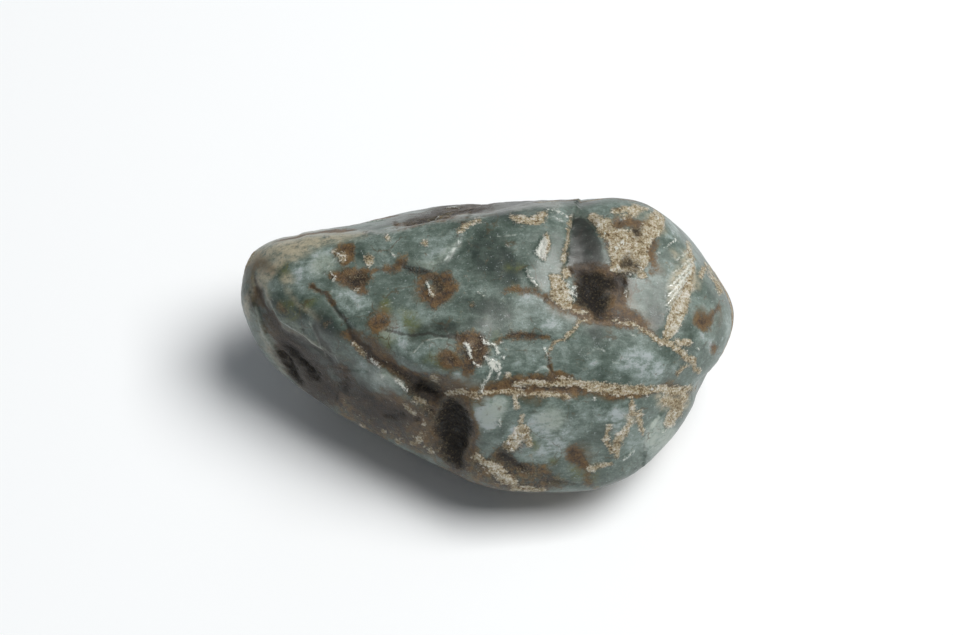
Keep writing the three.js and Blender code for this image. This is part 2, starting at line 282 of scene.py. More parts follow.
chipsAndGlints = {"front": [
    # flakes and crumbs that are nearly white, with painted glints where wet-looking flakes catch the
    # light
    [(7, 13, .3), (6.9, 12.1, .6), (6.6, 11.3, .75), (6.9, 10.5, .4)], [(4.8, 9.3, .08), (5.1, 8.3, .2),
     (5.8, 7.3, .12)], [(5.4, 8.2, .08), (6, 7.2, .14)], (2.4, 12, .18), [(16.9, 6.6, .15),
     (16.9, 6, .13)], (20.9, 11.2, .16), (10.3, 15.8, .16), (25.6, -.5, .15), (20, -5.3, .25),
    (19.4, -6.15, .2), (-12.7, -3.9, .22), [(-11.1, -4.2, .2), (-10.3, -4.9, .25), (-9.7, -5.5, .14)],
    [(-14.3, -1.8, .2), (-13.1, -2.7, .2)], [(1.5, -9.1, .15), (1.6, -9.7, .14)], (13, -6.6, .2),
    [(17.8, -13, .15), (16.6, -13.9, .15)],
    # lace beside the knob: white crumbs with painted glints
    [(-.6, .9, .15), (-.3, .2, .22), (.9, .05, .14), (1.4, -.6, .17), (1.2, -1.2, .13)],
    [(-.3, -1.4, .18), (.2, -1.8, .24)], [(.7, -1.9, .24), (1.5, -2.4, .24), (1.5, -3.4, .17),
     (1.2, -4.1, .12)], [(.6, -2.8, .22), (.2, -3.9, .2), (-.6, -4.8, .22), (-.7, -5.7, .26)],
    (2, -1.6, .16), [(-1.6, -2.2, .16), (-.9, -2.6, .2)], (.1, -.9, .14), (1.7, .2, .12),
    [(-2.6, .2, .3), (-2.2, -.5, .35), (-2, -1.6, .18)], [(.5, -2.2, .45), (1.2, -3, .3)],
    [(.9, -.2, .2), (1.4, -1, .22)],
    # edges of the rust
    [(-19, 8.8, .12), (-18.5, 8.3, .12), (-18.8, 7.7, .14)], [(-7.3, 7.7, .16), (-7, 6.7, .22),
     (-6.9, 6, .16)], [(-18.3, 11.3, .13), (-17.6, 10.6, .15)],
    # facets at the blunt end
    [(21.6, 11.8, .08), (23, 12.9, .16)], [(24.9, 11.6, .14), (23.2, 10.4, .1)], [(25, 10.6, .16),
     (22.8, 8.9, .1)], [(24.9, 9.8, .3), (22.4, 7.2, .16)], [(24.7, 8.9, .28), (22.1, 6, .2)],
    [(24.2, 7.8, .24), (21.9, 4.8, .14)], [(23.7, 6.6, .12), (22.2, 4.2, .08)],
    # lilac crumbs left of the pit and white ones in the crust and low down
    (9.9, 7.3, .35), (10.2, 6.4, .45), (9.9, 5.6, .35), (10.7, 7, .25), (10.5, 5.5, .25),
    (9.2, 6.7, .2), (10.9, 6.1, .2), (9.4, 5, .15), (15.8, 11.8, .3), (16.4, 12.4, .35),
    (17.4, 8.6, .25), (15.9, 9.4, .3), (18.6, 9.4, .2), (13.6, 14.6, .3), (14.4, 13.6, .2),
    (2.6, -11.8, .3), (3.4, -11.2, .25), (3, -12.6, .25), (4.2, -10.8, .2), (.2, -14.6, .2),
    (1.4, -15.6, .25), (2.4, -16.2, .2),
    # hair lines and scratches
    [(7.4, 16.3, .1), (9, 16.1, .1), (9.8, 15.6, .1)], [(8, 15.6, .08), (9.4, 15.1, .08)],
    [(-11.9, 11.4, .09), (-11.3, 10.8, .11)], [(-1.2, 6.5, .08), (-.4, 5.9, .08)], [(22, -9.6, .1),
     (21.4, -10.8, .08)], [(6.9, -.4, .1), (7.3, -1.1, .1), (7.5, -1.6, .08)],
], "round": [
    [(52, 22, .25), (54, 17, .3)], [(104, 30, .2), (108, 27, .25)], (26, 31, .3), [(12, -4, .2),
     (16, -8, .25)], [(134, 24, .2), (139, 22, .12)], [(84, 4, .15), (78, 2, .1)], (303, -35, .3),
    (62, -26, .25), (118, 42, .3),
]}

# pale rims where a flake came off, partly a painted highlight along the scar edges
paleRimsAndHighlights = {"front": [
    [(-3.1, 13.2, .06), (-3.6, 12.2, .09), (-4.4, 11, .1), (-5.2, 10.2, .08), (-6.8, 9.7, .04)],
    [(-9.1, -1.2, .08), (-8.6, -.5, .1), (-7.6, .5, .1), (-6, .9, .1), (-4.8, .8, .06)],
    [(5.2, -3.8, .06), (7, -2.6, .09), (7.9, -3.3, .06)], [(19.3, -12.9, .1), (19.5, -11.5, .16),
     (20, -10, .16), (21, -8.7, .1)], [(-14.9, -3, .06), (-13.4, -3.6, .1), (-11.9, -3.7, .12),
     (-10.2, -4.6, .12)], [(10.6, 16, .1), (10.2, 14.6, .14), (9.8, 12.8, .12), (9.6, 10.4, .08)],
    [(-18.5, 10.6, .06), (-19.4, 9.4, .08), (-19, 8.2, .06)], [(12.9, -.6, .08), (13.8, -.4, .12),
     (14.6, -.9, .08)], [(15.2, -2, .06), (16.2, -2.3, .08)], [(-13, 4.6, .05), (-11.4, 5.2, .06)],
    [(1.2, 13.2, .06), (3.6, 13.4, .08)], [(-26.6, 5.6, .06), (-25.4, 3.2, .1), (-22.6, 1.6, .12),
     (-19.2, -1.1, .08)], [(-28.3, 4.8, .06), (-27.2, 1.2, .12), (-24.6, -2.6, .06)], [(-18.4, -1, .05),
     (-17.3, -3.2, .1), (-17.9, -5.4, .05)], [(-21.6, 3, .05), (-20.4, .6, .08), (-19.6, -1.4, .05)],
    [(17.4, 1.4, .1), (18.2, 1, .12)], [(2, -6.7, .05), (3, -6.9, .05)],
]}

# softer tints: half width is where each has faded out
clouds = {"front": [
    (16.6, 12, 1.4), (15.6, 9.8, 1), (18.4, 9, .8), (13.6, 15, 1), (3.2, -11.6, 1.4), [(.6, -14.8, 1),
     (2.2, -16.2, 1)], (21.6, -11.4, 2.2), (24.4, 9.6, 1.4), (9.8, 6.4, 1.2), (22.4, 14.2, 1.2),
    (-22.5, 8.8, 1.8), (-19.8, 9.8, 2.2), (-17, 5.5, 2), [(-12.8, -4, 1.4), (-11.2, -4.8, 1.2)],
    (8, -8.7, 2.6), [(0, -7.8, 2.2), (1, -9.5, 1.6)], [(17.5, -2, 2.4), (21, -3, 2)], (15.5, -7.8, 1.8),
    (21.5, -11.5, 2.6), (8, -10.5, 3.2), (15.5, -9, 2.4), (4.8, 5.6, 1.2), (8.6, 3.2, 2),
    (-11.5, 1, 1.6), [(-8.8, -.8, .7), (-6.8, .2, .6)], (7, -3.3, 1.1), (10.3, 6.4, 1),
    [(-7, 10.8, 1.2), (-5, 11, 1)], (8.5, -12, 2), (3, -2, 1.4), (17.6, 1.2, .8), (6.8, -3.2, 1),
    (26.5, .5, 1.3), (-3.5, -4.6, 1.2), (12.8, -2.2, 1.3), (-.5, -3, .8), [(22.6, 2.4, 1.3),
     (24.2, 6.4, 1.3)], [(3.4, -4, 1), (5.6, -1.8, 1.2)],
], "round": [
    (56, 24, 3), (86, 36, 3.2), (120, 26, 2.6), (10, -10, 2.6), (100, 0, 3), (38, -12, 3),
    (150, -6, 2.4), (240, -60, 3), (330, -34, 2.6), (95, -50, 4),
]}
shades = {"front": [
    [(0, 11.5, 4), (2, 9, 3)], [(11.7, 14.5, 1.6), (12, 12.5, 2.2), (12.2, 10.5, 2)], [(11.7, 14, 1.2),
     (12.2, 11, 1.6)], [(-4, 16.4, 1.4), (2, 17.2, 2.4), (8, 17.4, 2.2)], [(-2, 5, 2.6), (1.5, 4, 1.8)],
    (13.5, 1.4, 1.8), (11.6, -6.6, 1.3), (2.6, -7, 1), (-23, 4, 3), (-25.5, 8.5, 1.8), [(-6, 2, 1.6),
     (-1, 2.2, 1.6)], [(4, 1.7, .9), (7, 1.4, .7)], (-15, 11.5, 1.6), (-16, -6, 3), (-21, -1, 3.2),
    (-12, -9.5, 2.4), (24.5, 3.5, .9), (9.5, -16, 1.2), (28.2, 1.5, 1.3), (2.5, -13.5, 1.8),
    (-17.8, 2, 1.4), (-25, 4, 2.4), (12, 12.2, 2), (20, 3, 2),
], "round": [
    (74, 22, 2.6), (106, 14, 2.6), (26, 18, 2.4), (140, 36, 2.4), (64, -8, 2.6), (124, -12, 3),
    (270, -70, 4), (170, -30, 2.6), (20, -34, 3),
]}
olives = {"front": [
    (-9.5, 2.9, 1.7), (-25, 8.8, 1.4), (1.8, 9.8, .9), [(3.2, 9.6, .8), (4.4, 9.6, .6)], [(2.5, 6.9, 1),
     (3.4, 6, .9)], (-12.4, 4.4, 1.4), (-12.6, 0, 1.2), [(-7, -1.6, 1.2), (-5.6, -2.6, 1.2)],
    (.6, 1, .8), (5.6, -11.6, 1), [(10.5, -14.8, 1.6), (13, -15.4, 1)], (-7.4, -7.6, 1.2),
    (-23.5, 4.2, 1.8), (10.4, 1, .8), (7.6, -14.3, .9), (-21, 4.6, 1),
], "round": [
    (80, 30, 1.8), (134, 18, 1.6), (40, -4, 1.6), (98, -14, 1.8), (160, -8, 2),
]}

# brown earth soaked in, and a pale film dried on
earths = {"front": [
    [(-27.4, 2.8, .8), (-25, .2, 1.8), (-21, -3.6, 2.6), (-15.5, -7.4, 2.8), (-9.4, -9.6, 3.6),
     (-4.8, -11.5, 3.8), (-2.2, -14.5, 2.8), (1.5, -16.4, 2.4)], [(-28.2, 8, .7), (-27.8, 5, .8)],
    (-18, -2.6, 1.2), (-24.6, 4.4, 1.2), [(11.6, 9.2, 1.2), (14.8, 8.8, 1.4)], [(-9, -4.8, 1.8),
     (-6.2, -5.6, 2.6), (-3.4, -7, 2)], (-2.4, -9.5, 1.2), (13, 6.2, 3), [(15.6, 10, 1.9),
     (17.5, 12.6, 2.4)], (-1.5, -.8, 2.3), (-4.6, -1.8, 1.7), (-6, 7, 2.2), (-16, 8.2, 1.8),
    (-17.2, 11, 1.6), [(1.8, -14.2, 2.4), (4.5, -15.5, 2.2), (8, -16.8, 1.2)], (12.5, -15.8, 1.4),
    [(17.5, 3.3, 1.3), (14, 3.5, 1.3), (11, 3.8, .9)], [(3, 1.2, .8), (8, .9, .7)], [(1.5, -4.9, 1.4),
     (9, -5, 1.2), (16, -5.4, .8), (24, -5.4, .8)], (26.6, 2.8, 1.3), (10.8, -13.6, 1.4),
    [(-9, 15.2, .8), (-2, 16.8, 1.2)], [(-16, 1, 1), (-12.4, -2.2, 1.4), (-9.5, -4, 1.2)],
], "round": [
    [(176, -14, 3.2), (200, -26, 3.6), (230, -34, 4), (262, -38, 3.6), (292, -34, 3)], [(347, 1, .8),
     (12, 8, 1.2), (48, 4, 1.2), (66, 2, .8)], (94, 22, 2), (130, 10, 2.4), (72, 12, 1.6),
    [(116, -24, 3), (96, -30, 2.4)], [(30, 24, 1.2), (46, 36, 1.2)], [(252, -46, 2.4), (320, -52, 2.4)],
    (78, -14, 2),
]}
films = {"front": [
    [(-26.6, 2.9, .35), (-23.5, 1.6, .4), (-21, .3, .4), (-19.3, -1.2, .3)], [(-24.5, 6.8, .3),
     (-22.8, 5, .35), (-20.5, 3.2, .3)], [(-27.6, 1.4, .3), (-24.5, -3.4, .6)], (-22.6, -5, .8),
    [(-28.4, 8.6, .3), (-28, 5.2, .35)], (-24.4, 8, .9), [(24.3, 11.2, .9), (23.9, 9, 1.4),
     (23.2, 6.8, 1.2), (22.6, 5, .7)], (22.8, 11.2, .5), [(17.8, 16.1, .5), (19.4, 16.6, .4)],
    [(-27.6, 9.4, .6), (-27, 7, .6), (-26.4, 5.2, .4)], [(-28.5, 10.4, .9), (-26, 11.6, 1.3),
     (-23.5, 12, 1.7), (-21.3, 12.5, 1.2), (-19, 13, .7), (-15, 13.3, .4)], (-23.8, 10.7, 1),
    [(21.5, -6.8, 1.2), (23.4, -6.6, 1.4)], (24.6, 8, 1.6), (17.5, -9, .8),
], "round": [
    [(168, 24, 1.2), (176, 8, .8)], (120, 40, 1.6), (24, 32, 1.6), (64, -27, 1.6), (305, -34, 1.6),
]}

# painted shade darkens hollows, the ground under flake edges, the left flank and the strip behind the
# crest, and deepens the dark facet; warms are fuzzy brown stains and pales are thin milky skins
paintedShadeMarks = {"front": [
    [(11.4, 15.6, 1.2), (12, 14, 1.9), (12.3, 12.4, 2.3), (12, 10.8, 2.2), (11.4, 9.9, 1.4)],
    [(11.6, 8.4, 1.4), (12.8, 6.4, 2.5), (13.6, 4.6, 1.6)], (15.6, 7.2, 1.7), [(16.7, 10.2, .9),
     (17.6, 9.8, .8)], (18.4, 13.8, .7), [(-4.6, -7.8, 1.6), (-4.2, -9.6, 2.4), (-3.9, -11.6, 2.2),
     (-3.6, -13.6, 1.6)], [(-8.8, -5.2, 1.2), (-6.8, -5.8, 1.2)], [(-25.4, .6, 1.8), (-23, -1.4, 3),
     (-20.8, -3.4, 3), (-18.5, -5.4, 2.4)], [(-19.4, 3.2, .9), (-19, 1.8, 1.1)], [(-17.2, -3.4, 1.4),
     (-14, -7, 1.8), (-10, -9.5, 1.8)], [(-28.4, 7, .8), (-27.6, 4.6, .8), (-26, 2.4, .9)],
    [(-11, 9.6, .5), (-8.5, 9.1, .8), (-6.6, 8.8, .6), (-5.2, 9.3, .4)], [(-9.5, 1.5, .8),
     (-6.5, 1.5, .9), (-4, 1.3, .8)], [(2.4, 1.4, .5), (7, 1.4, .5)], [(2, -13.4, .9),
     (4.4, -14.2, .8)], [(-12, 14.8, .8), (-8, 15.4, 1.1), (-3, 16.4, 1.1), (2, 17.4, 1.2),
     (8, 18, 1.2), (12, 17.8, .9)],
]}
warms = {"front": [
    (-13.2, 2.7, 2), [(26.4, 2.8, 1.2), (27.3, 3.8, .7)], [(10.6, -13.2, 1.6), (11.8, -14.4, 1.2)],
    (-4.6, -1.9, 1.8), [(-7.4, 6.6, 1.4), (-4.9, 7.2, 1.6)], (-16.6, 8.2, 1.6), [(-26.5, 1.6, 1),
     (-23.5, -1.2, 1.6), (-20.4, -4.2, 2)], (-18, -5.8, 1.6), [(-12.6, -7, 1.4), (-9.4, -8.2, 1.6)],
    [(-2.2, -7.4, 1), (-1.7, -10.5, .9), (-1.2, -13.2, .9)], [(9.4, 8.8, 1), (13, 9.2, 1.2),
     (16, 7.4, 1), (17.4, 4, 1), (19.8, 1.8, .6)], [(15.2, 15.2, .8), (18.4, 15.4, .7),
     (20.4, 12.4, .5), (20.5, 9.2, .7)], [(8.4, 5, .8), (12, 3.6, 1), (16, 3, 1)], [(2.4, 6.8, .6),
     (6.4, 6, .6)], [(-6, -5.6, 1), (1.5, -5.3, 1.2), (9, -5.2, 1.1), (14, -5.4, .8), (24, -5.5, .6)],
    [(-17, 1.4, .7), (-13.6, -1.2, 1.1), (-9.6, -3.8, 1.1)], (-27.6, 9.2, 1.4), [(-8.6, -9.6, 1.6),
     (-6.8, -11.6, 1.4)],
]}
pales = {"front": [
    [(-9.4, 10.4, .3), (-7, 10.1, .5), (-5.2, 10.8, .45), (-4.1, 12, .3)], (-19.6, 9.6, 1.4),
    [(-12.6, -4, 1), (-11.2, -4.9, .9)], [(-26.8, 6, .6), (-25.6, 3.2, .6), (-22.6, 1.6, .6),
     (-20, -.6, .6), (-19, -1.4, .5)], [(-28.6, 4.5, .7), (-27, .6, .7), (-24.4, -3.4, .7)],
    (-14.2, -2, .6), (-13, .8, 1.2), (20.4, -10.4, .9), (8, -8.6, 1.8), (21.6, -11.6, 2), (.6, -8, 1.6),
]}

# clean dark faces with sharp outlines, and painted shadow lines under the flake edge and above the
# brown line right of the knob
darkFacesAndShadows = {"front": [
    [(11.3, 15.2, .75), (11.9, 13.6, 1.4), (12.1, 12, 1.85), (12.2, 10.8, 1.5)], [(10.9, 11.4, .9),
     (10.6, 10.1, .7)], [(-19.6, 3.4, .3), (-19.4, 2.6, .8), (-18.9, 1.6, .4)], [(-10.6, 9.6, .15),
     (-8.6, 9.2, .35), (-6.8, 8.9, .2)], [(2.4, 1.2, .12), (5, 1.35, .2), (7.8, 1, .12)],
]}

# ledges are the edges of old flake scars, each a line with its step and its reach in mm: the
# ground left of the line is raised by the step, or sunk where the step is below zero
ledges = [
    ([(-10.2, 10.1), (-9, 10), (-7, 9.5), (-5.7, 9.9), (-4.9, 10.1), (-4.2, 11.3), (-3.3, 12.6),
     (-3, 13.4)], .28, 3),
    ([(19.3, -12.9), (19.5, -11.5), (20, -10), (21, -8.7)], -.3, 2.2),
    ([(10.6, 16), (10.2, 14.6), (9.8, 12.8), (9.6, 10)], -.9, 2.8),
    ([(-9.3, -1.2), (-8.6, -.7), (-7.6, .3), (-6, .8), (-4.6, .5)], -.14, 2.4),
    ([(24, 8), (22.9, 5.6), (22, 3.2), (21.2, 1.4)], -.16, 1.4),
    ([(5.3, -3.9), (7, -2.7), (8, -3.5)], -.2, 1),
    ([(-21.5, 7.3), (-20, 6.2), (-18.7, 4.9), (-17, 3)], .12, 2.6),
    ([(1, .6), (3, 1.1), (5.5, 1.2), (7.6, .9), (9.4, .8)], .1, 1.8),
    ([(-15, -3.2), (-13.5, -3.4), (-12.5, -3.4), (-11, -4), (-9.6, -5.5)], -.16, 2.6),
    ([(4.9, 9.3), (5.1, 8), (5.9, 7)], .16, 1.2),
    ([(21.9, 12), (23, 12.4), (24.6, 10.4), (25.4, 8.6)], -.2, 2),
    ([(-26.6, 5.6), (-25.2, 3), (-22.6, 1.5), (-19.2, -1.2)], .3, 2),
    ([(-28.2, 4.6), (-27, 1.2), (-24.6, -2.4)], -.3, 1.6),
    ([(-18.4, -1), (-17.4, -3.4), (-18, -5.6)], .24, 1.6),
]

# crest lines stand up as a worn edge, painted paler, partly wear and partly a painted highlight; cracks
# cut in
crests = {"front": [
    [(-22, 13.5, .7), (-18, 13.6, .5), (-15, 13.5, .4), (-12, 13.6, .4), (-8, 14.6, .4), (-5, 15, .5),
     (-2, 15.6, .5), (1, 16.4, .6), (5, 16.8, .6), (8.5, 16.9, .6)],
]}
cracks = {"front": [
    [(-21.3, 7.2, .3), (-20, 6.2, .3), (-18.7, 4.9, .35), (-17.4, 3, .3), (-16.5, 1.2, .4),
     (-15.2, -.2, .5), (-13.8, -1.5, .5), (-12.2, -2.6, .5), (-10.2, -3.6, .5), (-8.4, -4.8, .6)],
    [(-12, 1.6, .3), (-9, 1.3, .35), (-6, 1.2, .35), (-3.2, .9, .35)], [(8.5, -4, .25),
     (7.7, -2.7, .25), (7.2, -1.2, .2)], [(9.3, .8, .3), (8.3, 0, .3), (7.6, -.9, .3)],
    [(-24.5, 1.5, .4), (-22.5, .6, .4), (-20.4, -.4, .35), (-19, -1.4, .35), (-18.3, -3.4, .35)],
    [(-21, 2.6, .35), (-20.2, .8, .35), (-19, -.8, .35)], [(-28.2, 8.5, .3), (-27.9, 6, .3),
     (-27.2, 4, .35), (-25.4, 2.2, .4), (-23.5, .8, .4)],
], "round": [
    [(104, 34, .3), (98, 22, .3), (90, 12, .3), (84, -2, .3)], [(150, 16, .3), (136, 2, .35),
     (120, -8, .3)], [(58, 30, .25), (66, 20, .25), (70, 8, .3)], [(280, -40, .3), (255, -55, .3),
     (215, -60, .3)],
]}


stone = {
    "node": "jadeite_stone",
    "subdivisions": 2,       # 24 triangles from each one of the plain solid
    "weldDistance": 1e-6,    # metres
    "fineNear": 0.30,        # mm round the crisp marks where the mesh is halved once more
    "fieldRange": 0.8,       # mm from a mark's edge that its field can tell
    "restZone": (.1, 1.2),   # mm above the ground where relief sets in, the flat it rests on stays
}


def copySolid():
    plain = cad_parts[stone["node"]]
    piece = bpy.data.objects.new("jade_pebble", plain.data.copy())
    bpy.context.scene.collection.objects.link(piece)
    piece.data.materials.clear()
    mesh = bmesh.new()
    mesh.from_mesh(piece.data)
    bmesh.ops.remove_doubles(mesh, verts=mesh.verts, dist=stone["weldDistance"])
    mesh.to_mesh(piece.data)
    mesh.free()
    for name in [layer.name for layer in piece.data.uv_layers]:
        piece.data.uv_layers.remove(piece.data.uv_layers[name])
    rounder = piece.modifiers.new("rounder", "SUBSURF")
    rounder.levels = stone["subdivisions"]
    bpy.context.view_layer.objects.active = piece
    bpy.ops.object.modifier_apply(modifier=rounder.name)
    return piece


def pointsOf(piece):
    found = np.empty(len(piece.data.vertices) * 3, np.float32)
    piece.data.vertices.foreach_get("co", found)
    return found.reshape(-1, 3).astype(float) / mm


def normalsOf(piece):
    found = np.empty(len(piece.data.vertices) * 3, np.float32)
    piece.data.vertex_normals.foreach_get("vector", found)
    return found.reshape(-1, 3).astype(float)


def ontoBoard(points):
    right, up, out, eye = boardAxes()
    away = points - eye
    scale = board["eye"] / -(away @ out)
    across = (away @ right) * scale + board["aim"][0]
    upward = (away @ up) * scale + board["aim"][1]
    return np.stack([across, upward], 1)


# 1 where the stone faces the eye square on, 0 at its outline, below 0 behind it
def facing(points, normals):
    toEye = boardAxes()[3] - points
    toEye /= np.linalg.norm(toEye, axis=1, keepdims=True)
    return np.sum(normals * toEye, 1)


# A spot is a line from itself to itself.
def stopsOf(mark):
    return mark if isinstance(mark, list) else [mark, mark]


# How deep inside a mark each point lies, in mm; below zero outside it.
def boardDepth(flat, mark):
    stops = np.array(stopsOf(mark), float)
    depth = np.full(len(flat), -99.0)
    for start, end in zip(stops[:-1], stops[1:]):
        run = end[:2] - start[:2]
        t = np.clip((flat - start[:2]) @ run / max(run @ run, 1e-9), 0, 1)
        gap = np.hypot(*(flat - start[:2] - t[:, None] * run).T)
        depth = np.maximum(depth, start[2] + t * (end[2] - start[2]) - gap)
    return depth


# The same for a mark that lies round the stone, by rays from the heart and how far they reach.
def roundDepth(rays, reach, mark):
    stops = []
    for bearing, rise, half in stopsOf(mark):
        turn, tilt = math.radians(bearing), math.radians(rise)
        stops.append([math.cos(turn) * math.cos(tilt), math.sin(turn) * math.cos(tilt),
                      math.sin(tilt), half])
    stops = np.array(stops)
    depth = np.full(len(rays), -99.0)
    for start, end in zip(stops[:-1], stops[1:]):
        run = end[:3] - start[:3]
        t = np.clip((rays - start[:3]) @ run / max(run @ run, 1e-9), 0, 1)
        near = start[:3] + t[:, None] * run
        near /= np.linalg.norm(near, axis=1, keepdims=True)
        gap = np.linalg.norm(rays - near, axis=1) * reach
        depth = np.maximum(depth, start[3] + t * (end[3] - start[3]) - gap)
    return depth


# Distance to a line without widths, and whether each point lies left of it (above zero).
def lineSide(flat, line):
    line = np.array(line, float)[:, :2]
    gap = np.full(len(flat), 99.0)
    side = np.zeros(len(flat))
    for start, end in zip(line[:-1], line[1:]):
        run = end - start
        t = np.clip((flat - start) @ run / (run @ run), 0, 1)
        away = flat - start - t[:, None] * run
        here = np.hypot(*away.T)
        left = np.sign(run[0] * away[:, 1] - run[1] * away[:, 0])
        side = np.where(here < gap, left, side)
        gap = np.minimum(gap, here)
    return gap, side


# Smooth lumpy noise about 1 mm x size across, from about -1 to 1.
def lumps(points, size, octaves=1, shift=0.0):
    scaled = (points + shift) / size
    return np.array([noise.fractal(Vector(p), 1.0, 2.0, octaves) for p in scaled])


def shove(points, size, amount, shift=0.0):
    return np.stack([lumps(points, size, 1, shift + step) for step in (0, 57, 113)], 1) * amount


# The deepest of all the marks of one kind at each point, and no less than shallow.
def markDepth(marks, place, shallow=-3.0):
    depth = np.full(len(place["flat"]), shallow)
    near = place["face"] > board["past"]
    here = np.full(near.sum(), shallow)
    for mark in marks["front"]:
        here = np.maximum(here, boardDepth(place["flat"][near], mark))
    fade = smooth(board["past"], 0, place["face"][near])
    depth[near] = np.maximum(shallow, shallow + (here - shallow) * fade)
    for mark in marks.get("round", []):
        depth = np.maximum(depth, roundDepth(place["rays"], place["reach"], mark))
    return depth


def refineNear(piece, depth):
    near = depth > -stone["fineNear"]
    mesh = bmesh.new()
    mesh.from_mesh(piece.data)
    edges = [edge for edge in mesh.edges
             if near[edge.verts[0].index] and near[edge.verts[1].index]]
    bmesh.ops.subdivide_edges(mesh, edges=edges, cuts=1, use_grid_fill=True)
    mesh.to_mesh(piece.data)
    mesh.free()


relief = {
    # swell, ripple and pimples all over: size, height and shift of the noise, in mm
    "waves": [(7, .16, 0), (1.9, .045, 20), (.75, .014, 40)],
    "grainSize": .55,
    "lumpSize": 1.3,
    "ledgeEdge": .12,          # how wide and how ragged the edge of a ledge is
    "ledgeSeen": (-.2, .1),    # ledges fade out round the outline
    # each mark: where it fades in, how lumpy its edge is, its lift, and grain and lumps in it
    "marks": {
        "tan": ((-.15, .3), .25, .05, .06, 0),
        "dirtAndShadow": ((-.3, 1.3), .3, -.6, .16, .16),
        "chipsAndGlints": ((-.12, .1), 0, .14, 0, 0),
        "cracks": ((-.35, .3), 0, -.11, 0, 0),
        "crests": ((-.7, .5), 0, .22, 0, 0),
        "rust": ((-.2, .5), .3, -.05, 0, 0),
    },
}


def carve(points, place, depths):
    height = np.zeros(len(points))
    for size, high, shift in relief["waves"]:
        height += high * lumps(points, size, 2, shift)
    grain = lumps(points, relief["grainSize"], 2, 60)
    coarse = lumps(points, relief["lumpSize"], 2, 80)
    for kind, (fade, uneven, lift, grainy, lumpy) in relief["marks"].items():
        cover = smooth(*fade, depths[kind] + uneven * coarse)
        height += cover * (lift + grainy * grain + lumpy * coarse)
    edge = relief["ledgeEdge"]
    seen = smooth(*relief["ledgeSeen"], place["face"])
    for line, step, reach in ledges:
        gap, side = lineSide(place["flat"], line)
        signed = gap * side + edge * coarse
        drop = np.exp(-np.maximum(signed, 0) / reach) * smooth(-edge, edge, signed)
        height += step * drop * seen * smooth(reach * 2, reach, gap)
    return height


# Where each point lies on the front board, how squarely it faces it, and its ray from the heart.
def readPlace(points, normals):
    rays = points - heart
    reach = np.linalg.norm(rays, axis=1)
    return {"flat": ontoBoard(points), "face": facing(points, normals),
            "rays": rays / reach[:, None], "reach": reach}


# how far noise pushes the outlines of marks about: its size and amount, in mm
bends = {"wide": (2.2, .45), "fine": (.8, .17), "drift": (4.5, 1.4)}
marksBy = {
    "still": {"chipsAndGlints": chipsAndGlints, "paleRimsAndHighlights": paleRimsAndHighlights, "darkFacesAndShadows": darkFacesAndShadows},
    "bent": {"rust": rust, "dirtAndShadow": dirtAndShadow, "tan": tan, "cracks": cracks, "crests": crests,
             "films": films},
    "drifted": {"clouds": clouds, "shades": shades, "olives": olives, "earths": earths,
                "paintedShadeMarks": paintedShadeMarks, "warms": warms, "pales": pales},
}


def readMarks(points, normals):
    wobble = shove(points, *bends["wide"]) + shove(points, *bends["fine"], 30)
    drift = shove(points, *bends["drift"], 50) + wobble
    places = {"still": readPlace(points, normals), "bent": readPlace(points + wobble, normals),
              "drifted": readPlace(points + drift, normals)}
    depths = {}
    for way, kinds in marksBy.items():
        for kind, marks in kinds.items():
            depths[kind] = markDepth(marks, places[way])
    return places["still"], depths


# sides nobody drew on get the same sort of stains and veins from lumpy noise; sizes in mm
wild = {
    "rust": {"size": 4.2, "above": .30, "slope": 4.0, "shift": 100},
    "dirtAndShadow": {"size": 3.0, "above": .50, "slope": 3.0, "shift": 140},
    "tan": {"size": 3.4, "above": .46, "slope": 3.5, "shift": 180},
    "earths": {"size": 9.0, "above": .06, "slope": 7.0, "shift": 220},
    "films": {"size": 6.0, "above": .40, "slope": 5.0, "shift": 260},
    "olives": {"size": 5.0, "above": .30, "slope": 5.0, "shift": 300},
    "vein": {"size": 11.0, "half": .28, "steep": 1.4, "shift": 340,
             "breakSize": 5.0, "breakAt": -.15, "breakShift": 380,
             "past": {"tan": 0, "rust": .35, "earths": .8}},    # how far each reaches out of it
    "hidden": (.04, -.2),    # where facing falls from the first to the second they set in
    "clear": (.2, 1.0),      # mm above the ground where they set in
}


def growWild(points, place, depths):
    hidden = smooth(*wild["hidden"], place["face"]) * smooth(*wild["clear"], points[:, 2])

    def grow(kind, depth):
        depths[kind] = np.maximum(depths[kind], -3 + (depth + 3) * hidden)

    for kind in ("rust", "dirtAndShadow", "tan", "earths", "films", "olives"):
        patch = wild[kind]
        found = lumps(points, patch["size"], 3, patch["shift"])
        grow(kind, np.clip((found - patch["above"]) * patch["slope"], -3, 3))
    vein = wild["vein"]
    seam = np.abs(lumps(points, vein["size"], 3, vein["shift"]))
    broken = lumps(points, vein["breakSize"], 2, vein["breakShift"])
    inside = vein["half"] * (1 + broken) - seam * vein["size"] / vein["steep"]
    inside = np.where(broken > vein["breakAt"], inside, -3)
    for kind, past in vein["past"].items():
        grow(kind, inside + past)


# the marks each paint layer holds, and where the soft ones fade in, mm inside their edge
layers = {
    "stains": ("rust", "dirtAndShadow", "tan"),
    "tints": ("clouds", "shades", "olives"),
    "skin": ("chipsAndGlints", "cracks", "crests"),
    "washes": ("earths", "films", "paleRimsAndHighlights"),
    "tones": ("paintedShadeMarks", "warms", "pales", "darkFacesAndShadows"),
}
fades = {"clouds": (-.2, 1.6), "shades": (-.2, 2.2), "olives": (-.2, 1.0), "earths": (-.6, 1.8),
         "films": (-.4, 1.0), "paintedShadeMarks": (-.5, 1.4), "warms": (-.5, 1.2), "pales": (-.5, 1.0)}


